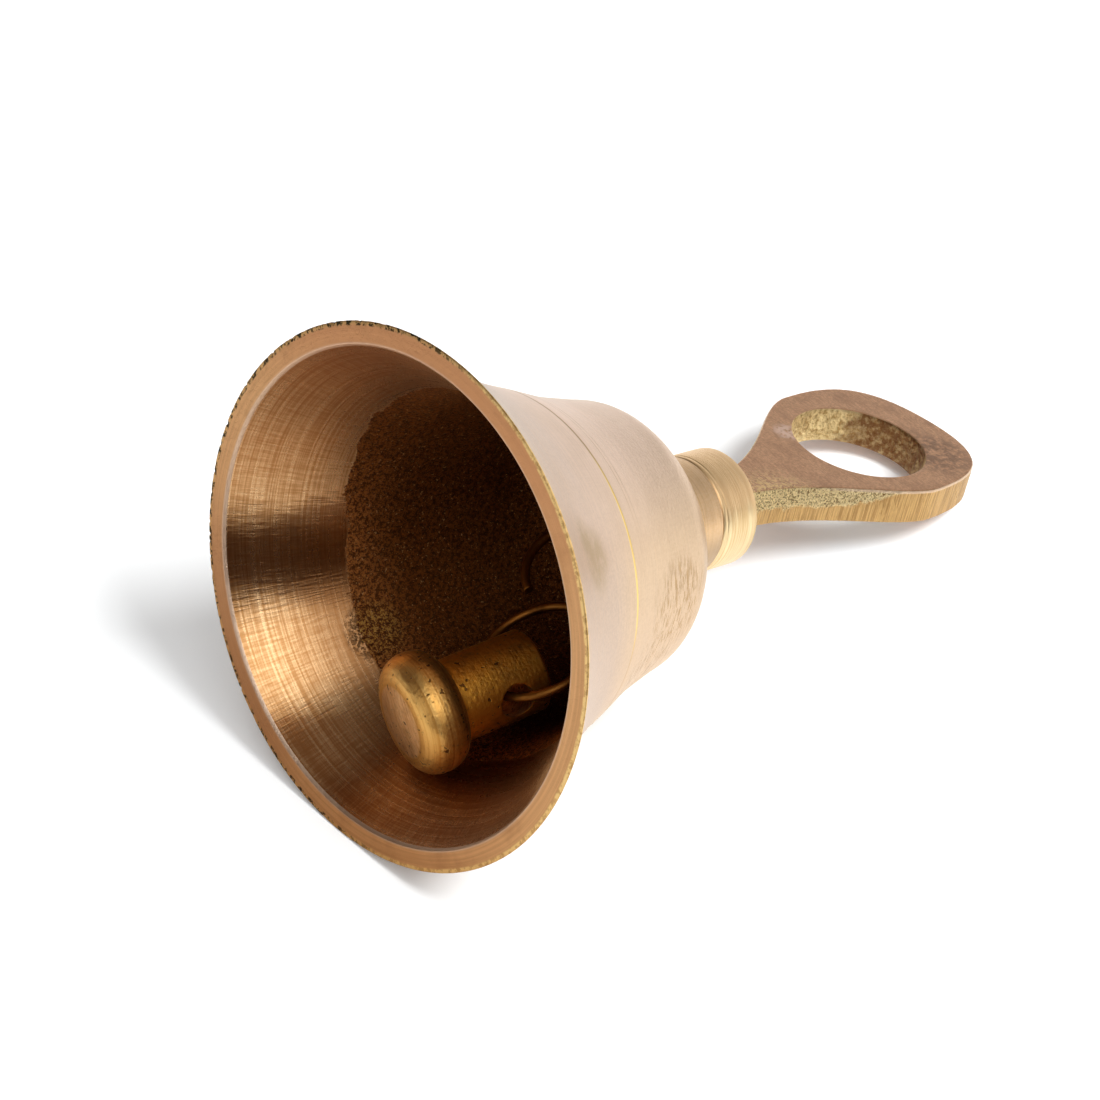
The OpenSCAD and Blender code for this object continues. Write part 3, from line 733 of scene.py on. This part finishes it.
# Hanger stud
# A threaded brass rod through the crown: the collar is screwed onto its upper end, and the
# hook's wire passes through a cross hole in the short length that shows inside the cup.
STUD_R, STUD_END, STUD_TOP, THREAD_DEPTH, PLAIN_R = 3.0, crown_in - 3.9, JOINT + 5.2, 0.35, 2.9
STUD_RINGS, STUD_TURNS = 240, 64
rings = np.linspace(STUD_END, STUD_TOP, STUD_RINGS)[:, None]
a = np.arange(STUD_TURNS) * 2 * np.pi / STUD_TURNS
thread = 2.0 * np.abs((rings + a / (2 * np.pi)) % 1.0 - 0.5)
stud_r = (STUD_R - THREAD_DEPTH * thread) * np.clip((rings - STUD_END) / 0.5, 0, 1) ** 0.3
stud_r = np.where(rings > crown_in - 0.2, PLAIN_R, stud_r)
stud_points = np.stack([np.broadcast_to(rings, stud_r.shape), stud_r * np.cos(a), stud_r * np.sin(a)], -1)
stud_points = np.concatenate([stud_points, np.broadcast_to([STUD_TOP, 0, 0], (1, STUD_TURNS, 3))])
stud = surface("stud", stud_points.reshape(-1, 3), grid_faces(len(stud_points), STUD_TURNS, False, True))
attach(stud, "bell")
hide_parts("hanger_stud")
stud_metal, shader, where = start_material("stud_thread")
skin = cast_skin(where, 0.3)
colour = blend(skin["Pits"], (0.27, 0.13, 0.04), (0.09, 0.035, 0.01))
finish(shader, colour, 0.6, bump(skin["Height"], 0.8, 0.00015))
stud.data.materials.append(stud_metal)

# Crown hook and clapper ring
# Both are 1.2 mm brass wire. The hook is bent through the stud's cross hole, with one blunt free
# tail and an eye at its other end; the closed ring hangs in that eye and carries the clapper.
WIRE_R, HOOK_R, HOOK_EYE_R, RING_R, HOOK_ARM, WIRE_SIDES = 0.6, 6.7, 2.0, 7.7, 2.0, 20
TAIL_FROM, HOOK_TURN, EYE_TURN, EYE_SWEEP, RING_POINTS = 21, 86, 48, 300, 200
slope, hook_turn, eye_turn = np.radians((33.2, HOOK_TURN, EYE_TURN))
way = np.array([-np.cos(slope), 0, -np.sin(slope)])
across = np.array([0, 1.0, 0])
hook_up = np.cross(across, way)
stud_hole = np.array([crown_in - 2.5, 0, 0])
bend_at = stud_hole + (HOOK_R + np.sqrt(HOOK_R**2 - STUD_R**2)) / 2 * way
arm_way = np.sin(hook_turn) * way - np.cos(hook_turn) * across
arm_end = bend_at - HOOK_R * (np.cos(hook_turn) * way + np.sin(hook_turn) * across) + HOOK_ARM * arm_way
hook_eye = arm_end + HOOK_EYE_R * (2 * np.sin(eye_turn) * arm_way + (2 * np.cos(eye_turn) - 1) * hook_up)


def bend(centre, r, a, b, start, end, n):
    """n points of an arc: centre + r (cos t a + sin t b), from one angle to another in degrees."""
    t = np.radians(np.linspace(start, end, n))[:, None]
    return centre + r * (np.cos(t) * a + np.sin(t) * b)


def wire(name, path, closed=False):
    """A round wire along a path: each station's circle is spanned by two vectors square to the
    path, carried along it without twist. An open end is blunt and slightly rounded."""
    ahead = (np.roll(path, -1, 0) - np.roll(path, 1, 0)) if closed else np.gradient(path, axis=0)
    ahead /= np.linalg.norm(ahead, axis=1, keepdims=True)
    side = np.zeros_like(path)
    side[0] = np.cross(ahead[0], (0.3, 0.2, 0.9))
    for k in range(1, len(path)):
        side[k] = side[k - 1] - ahead[k] * (side[k - 1] @ ahead[k])
    side /= np.linalg.norm(side, axis=1, keepdims=True)
    other = np.cross(ahead, side)
    r = np.full(len(path), WIRE_R)
    if not closed:
        tip = np.array([0, 0.75, 0.93, 1.0])
        r[:4], r[-4:] = WIRE_R * tip, WIRE_R * tip[::-1]
    a = np.arange(WIRE_SIDES)[:, None] * 2 * np.pi / WIRE_SIDES
    points = path[:, None] + r[:, None, None] * (np.cos(a) * side[:, None] + np.sin(a) * other[:, None])
    return surface(name, points.reshape(-1, 3), grid_faces(len(path), WIRE_SIDES, closed, True))


tail = bend(bend_at, HOOK_R, way, across, TAIL_FROM, 180 + HOOK_TURN, 130)
start = tail[0] + np.outer([0.03, 0.02, 0.01], tail[0] - tail[1])
into_eye = bend(arm_end - HOOK_EYE_R * hook_up, HOOK_EYE_R, arm_way, hook_up, 90, 90 - EYE_TURN, 14)[1:]
eye_from = 270 - EYE_TURN
eye_bend = bend(hook_eye, HOOK_EYE_R, arm_way, hook_up, eye_from, eye_from + EYE_SWEEP, 90)[1:]
end = eye_bend[-1] + np.outer([0.01, 0.02, 0.03], eye_bend[-1] - eye_bend[-2])
hook = wire("hook", np.vstack([start, tail, np.linspace(tail[-1], arm_end, 8)[1:], into_eye, eye_bend, end]))
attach(hook, "bell")
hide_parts("crown_hook")


def stood_up(p):
    """The inverse of lay_down: a place in metres on the floor, in the bell's millimetres."""
    p = np.asarray(p, float) - REST
    c, s = np.cos(TILT), np.sin(TILT)
    return np.array([p[0] * c - p[2] * s, p[1], p[0] * s + p[2] * c]) * 1000


hinges = {hinge["name"]: hinge for hinge in frame["joints"]}
cross_hole = stood_up(hinges["clapper_swing"]["pos_m"])
ring_way = (hook_eye - cross_hole) / np.linalg.norm(hook_eye - cross_hole)
pitch, yaw = np.radians(15.77), np.radians(-11)
shank_way = np.array([np.cos(pitch) * np.cos(yaw), np.cos(pitch) * np.sin(yaw), np.sin(pitch)])
pin = np.cross(shank_way, ring_way)
pin /= np.linalg.norm(pin)
ring_path = bend(hook_eye - RING_R * ring_way, RING_R, ring_way, pin, 0, 360 - 360 / RING_POINTS, RING_POINTS)
ring = wire("ring", ring_path, closed=True)
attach(ring, "link")
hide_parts("clapper_ring")

# Wire: brown, with painted shade that darkens it all over, and stained darker in patches
wire_metal, shader, where = start_material("shaded_stained_wire")
# The dark base colour is painted shade; the stains are patches on top of it
colour = over((0.36, 0.145, 0.028), (0.115, 0.034, 0.006), stains(where, 2.2), 0.8)
finish(shader, colour, 0.42, bump(cast_skin(where, 0.25)["Height"], 0.4, 0.00008))
hook.data.materials.append(wire_metal)
ring.data.materials.append(wire_metal)

# Clapper
# A turned brass mushroom: a wide head that strikes the wall, and a shank with a cross hole,
# drilled from the side, for the ring. Turning marks are left on its face.
SHANK_R, SHANK_LEN, CROSS_AT, CROSS_R = 5.25, 11.7, 6.8, 2.25
HEAD_R, HEAD_LEN, HEAD_ROUND, HEAD_DOME, CLAPPER_TURNS, DRILL_TURNS = 7.65, 6.9, 3.0, 0.4, 192, 64
back = np.radians(np.linspace(0, 60, 12))
front = np.radians(np.linspace(-90, 0, 14))
flat_r = HEAD_R - HEAD_ROUND
face_r = np.linspace(0, flat_r, 16)
clapper_profile = np.vstack([
    np.stack([-HEAD_LEN + HEAD_DOME * (face_r / flat_r) ** 2, face_r], -1)[:-1],
    np.stack([HEAD_ROUND + HEAD_DOME - HEAD_LEN + HEAD_ROUND * np.sin(front),
              flat_r + HEAD_ROUND * np.cos(front)], -1),
    [(-HEAD_ROUND - 0.2, HEAD_R)],
    np.stack([-HEAD_ROUND + HEAD_ROUND * np.sin(back), flat_r + HEAD_ROUND * np.cos(back)], -1),
    round_corner((-HEAD_ROUND * 0.1, SHANK_R + 0.5), (-HEAD_ROUND * 0.13, SHANK_R), (1, SHANK_R), 0.2, 4),
    np.linspace((0.4, SHANK_R), (SHANK_LEN - 0.7, SHANK_R), 30),
    round_corner((SHANK_LEN - 0.6, SHANK_R), (SHANK_LEN - 0.4, SHANK_R), (SHANK_LEN, SHANK_R - 0.4), 0.1, 3),
    round_corner((SHANK_LEN - 0.4, SHANK_R), (SHANK_LEN, SHANK_R - 0.4), (SHANK_LEN, SHANK_R - 2), 0.1, 3),
    np.linspace((SHANK_LEN, SHANK_R - 0.8), (SHANK_LEN, 0), 8)])
body, clapper_faces, clapper_uv = revolve(clapper_profile, CLAPPER_TURNS)


def on_clapper(p):
    """The clapper's own frame, x along the shank from the head, y along the cross hole, carried
    to the bell's frame."""
    third = np.cross(shank_way, pin)
    return cross_hole + (p[..., :1] - CROSS_AT) * shank_way + p[..., 1:2] * pin + p[..., 2:] * third


clapper = surface("turned_clapper", on_clapper(body).reshape(-1, 3), clapper_faces, clapper_uv)
a = np.arange(DRILL_TURNS) * 2 * np.pi / DRILL_TURNS
drill_ends = np.array([[-9.0], [9.0]])
drill_points = np.broadcast_arrays(CROSS_AT + CROSS_R * np.cos(a), drill_ends, CROSS_R * np.sin(a))
drill_points = lay_down(on_clapper(np.stack(drill_points, -1))).reshape(-1, 3)
drill_faces = grid_faces(2, DRILL_TURNS, False, True).tolist()
drill_faces += [list(range(DRILL_TURNS))[::-1], list(range(DRILL_TURNS, 2 * DRILL_TURNS))]
drill_mesh = bpy.data.meshes.new("drill")
drill_mesh.from_pydata(drill_points, [], drill_faces)
face_outwards(drill_mesh)
drill = bpy.data.objects.new("drill", drill_mesh)
bpy.context.scene.collection.objects.link(drill)
cut = clapper.modifiers.new("cross_hole", "BOOLEAN")
cut.object, cut.operation, cut.solver = drill, "DIFFERENCE", "EXACT"
bored = bpy.data.meshes.new_from_object(clapper.evaluated_get(bpy.context.evaluated_depsgraph_get()))
clapper.modifiers.clear()
clapper.data = bored
bpy.data.objects.remove(drill)
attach(clapper, "clapper")
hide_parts("clapper")

# Clapper metal: golden brown, pitted, with turned rings, redder along the shank. The flat of its
# face is scored across, and painted light makes it paler.
clapper_metal, shader, where = start_material("clapper_metal")
along = profile_length()
lines = lathe_lines(where, along, 5.0, 0.5, 9.0)
skin = cast_skin(where, 0.5)
colour = blend(fade(lines["Tone"], 0.35, 0.65), (0.76, 0.38, 0.09), (0.94, 0.55, 0.165))
scored = patches(drawn_out(where, (0.9, 0, 0), (1.0, 4.0, 0.22)), 1.0, 3.0, 0.65, 0.36, 0.62)
# Painted light: the flat of the face is paler, as though lit by the reflected wall
pale = blend(scored, (0.76, 0.40, 0.16), (0.95, 0.60, 0.30))
colour = over(colour, pale, fade(along, 4.9, 4.3), 0.9)
colour = over(colour, (1.0, 0.46, 0.05), fade(along, 12.4, 13.6, 0.0, 0.8))
colour = over(colour, (0.28, 0.12, 0.035), stains(where, 3.0), 0.5)
pits = patches(where, 1.0, 2.0, 0.5, 0.66, 0.70)
colour = over(colour, (0.12, 0.05, 0.015), either(pits, product(skin["Pits"], 0.35)), 0.85)
normal = bump(lines["Height"], 0.4, 0.00006, bump(minus(skin["Height"], pits), 0.45, 0.00012))
finish(shader, colour, 0.40, normal)
clapper.data.materials.append(clapper_metal)

# Floor
# A sheet of white paper under the bell. It ends a hand's width in front of the mouth, so that
# the metal sees the dark studio past its edge, while it runs far back behind the handle.
PAPER_AHEAD, PAPER_REACH, PAPER_HALF = 0.19, 1.6, 1.2
toward_camera = np.array([-0.672, -0.740])
sideways = np.array([-toward_camera[1], toward_camera[0]])
corners = [(*(toward_camera * ahead + sideways * PAPER_HALF * side), 0) for ahead, side in (
    (PAPER_AHEAD, 1), (PAPER_AHEAD, -1), (-PAPER_REACH, -1), (-PAPER_REACH, 1))]
sheet_mesh = bpy.data.meshes.new("floor")
sheet_mesh.from_pydata(corners, [], [(3, 2, 1, 0)])
floor = bpy.data.objects.new("floor", sheet_mesh)
bpy.context.scene.collection.objects.link(floor)

# White paper, with a painted shadow beside the handle and, for the metal's reflections alone,
# painted shade before the mouth. The camera sees it grow lighter with distance, so that it has no edge
# against the background.
paper = bpy.data.materials.new("white_paper")
paper.use_nodes = True
tree = paper.node_tree
shader = tree.nodes["Principled BSDF"]
place = put("TexCoord").outputs["Object"]
at = axes(place)
# Painted shadow: the paper is darker around the handle's foot
painted_handle_shadow = spot(vector("MULTIPLY", place, (1000, 1000, 1000)), (26.0, -8.0, 0.0), 17.0, 0.1)
painted_mouth_shade = product(fade(at[0], -0.02, -0.05), fade(at[0], -0.12, -0.06))
ray = put("LightPath").outputs
colour = over((0.90, 0.92, 0.93), (0.69, 0.76, 0.81), painted_handle_shadow, 0.8)
# Painted shade before the mouth, seen only in the metal's reflections
colour = over(colour, (0.40, 0.32, 0.25), painted_mouth_shade, ray["Is Glossy Ray"])
join(shader, {"Base Color": colour, "Roughness": 0.9, "Specular IOR Level": 0.2})
glow = fade(vector("LENGTH", place), 0.25, 1.1, 0.12, 1.0)
glow = put("Emission", {"Color": (1, 1, 1, 1), "Strength": glow}).outputs[0]
lifted = put("AddShader", {0: shader.outputs[0], 1: glow}).outputs[0]
mixed = put("MixShader", {0: ray["Is Camera Ray"], 1: shader.outputs[0], 2: lifted}).outputs[0]
tree.links.new(mixed, tree.nodes["Material Output"].inputs["Surface"])
floor.data.materials.append(paper)

# Light
# A room that is pale behind the bell and dark on the camera's side, with a wide softbox above
# the camera and a dim window before the mouth. Two soft lamps that the metal doesn't mirror light
# the paper, and the stronger one casts the bell's shadow. To the camera the room is white.
world = bpy.data.worlds.new("room")
bpy.context.scene.world = world
world.use_nodes = True
tree = world.node_tree
direction = put("TexCoord").outputs["Generated"]
view = axes(direction)
far_side = put("ValToRGB", {0: view[2]})
ramp = far_side.color_ramp
ramp.elements[0].position, ramp.elements[0].color = 0.0, (1, 1, 1, 1)
ramp.elements[1].position, ramp.elements[1].color = 0.28, (0.78, 0.78, 0.78, 1)
for position, grey in ((0.53, 0.42), (0.83, 0.22)):
    ramp.elements.new(position).color = (grey, grey, grey, 1)
behind = fade(plus(product(view[0], 0.94), product(view[1], 0.34)), 0.10, 0.55)
room_light = blend(behind, (0.07, 0.045, 0.035), far_side.outputs[0])
room_light = blend(fade(view[2], 0.86, 0.97), room_light, (0.38, 0.38, 0.38))


def way_of(azimuth, elevation):
    """The direction x = cos e cos a, y = cos e sin a, z = sin e, for angles in degrees."""
    a, e = np.radians(azimuth), np.radians(elevation)
    return np.array([np.cos(e) * np.cos(a), np.cos(e) * np.sin(a), np.sin(e)])


panels = ((tuple(way_of(-113, 53)), 29, 19, 2.0), ((-0.94, 0.03, 0.34), 22, 13, 0.85))
for middle, outer, inner, strength in panels:
    nearness = vector("DOT_PRODUCT", direction, middle)
    panel = fade(nearness, np.cos(np.radians(outer)), np.cos(np.radians(inner)))
    room_light = blend(panel, room_light, (strength, strength, strength))
to_camera = put("LightPath").outputs["Is Camera Ray"]
tree.links.new(blend(to_camera, room_light, (1, 1, 1)), tree.nodes["Background"].inputs["Color"])
LAMP_DISTANCE = 0.9
lamps = (("paper_lamp", -72, 54, 0.2, 8.6), ("back_lamp", 100, 66, 0.3, 0.7))
for name, azimuth, elevation, radius, power in lamps:
    lamp = bpy.data.lights.new(name, "AREA")
    lamp.shape, lamp.size, lamp.energy = "DISK", 2 * radius, power
    holder = bpy.data.objects.new(name, lamp)
    holder.location = way_of(azimuth, elevation) * LAMP_DISTANCE
    holder.rotation_euler = (np.pi / 2 - np.radians(elevation), 0, np.radians(azimuth) + np.pi / 2)
    holder.visible_glossy = False
    bpy.context.scene.collection.objects.link(holder)

# Camera
# Placed where the photograph's outline and rim ellipse put it, about 0.4 m away, with a long
# lens, looking down into the mouth.
camera_data = bpy.data.cameras.new("camera")
camera_data.sensor_width, camera_data.lens = 36.0, 98.18
camera = bpy.data.objects.new("camera", camera_data)
ahead = np.array([0.5099, 0.56163, -0.6516])
right = np.array([0.73939, -0.67327, -0.00171])
ahead /= np.linalg.norm(ahead)
right -= ahead * (right @ ahead)
right /= np.linalg.norm(right)
placing = np.eye(4)
placing[:3, 0], placing[:3, 1], placing[:3, 2] = right, np.cross(right, ahead), -ahead
placing[:3, 3] = (-0.205896, -0.206002, 0.263434)
camera.matrix_world = Matrix(placing.tolist())
bpy.context.scene.collection.objects.link(camera)
bpy.context.scene.camera = camera
bpy.context.scene.view_settings.view_transform = "Standard"
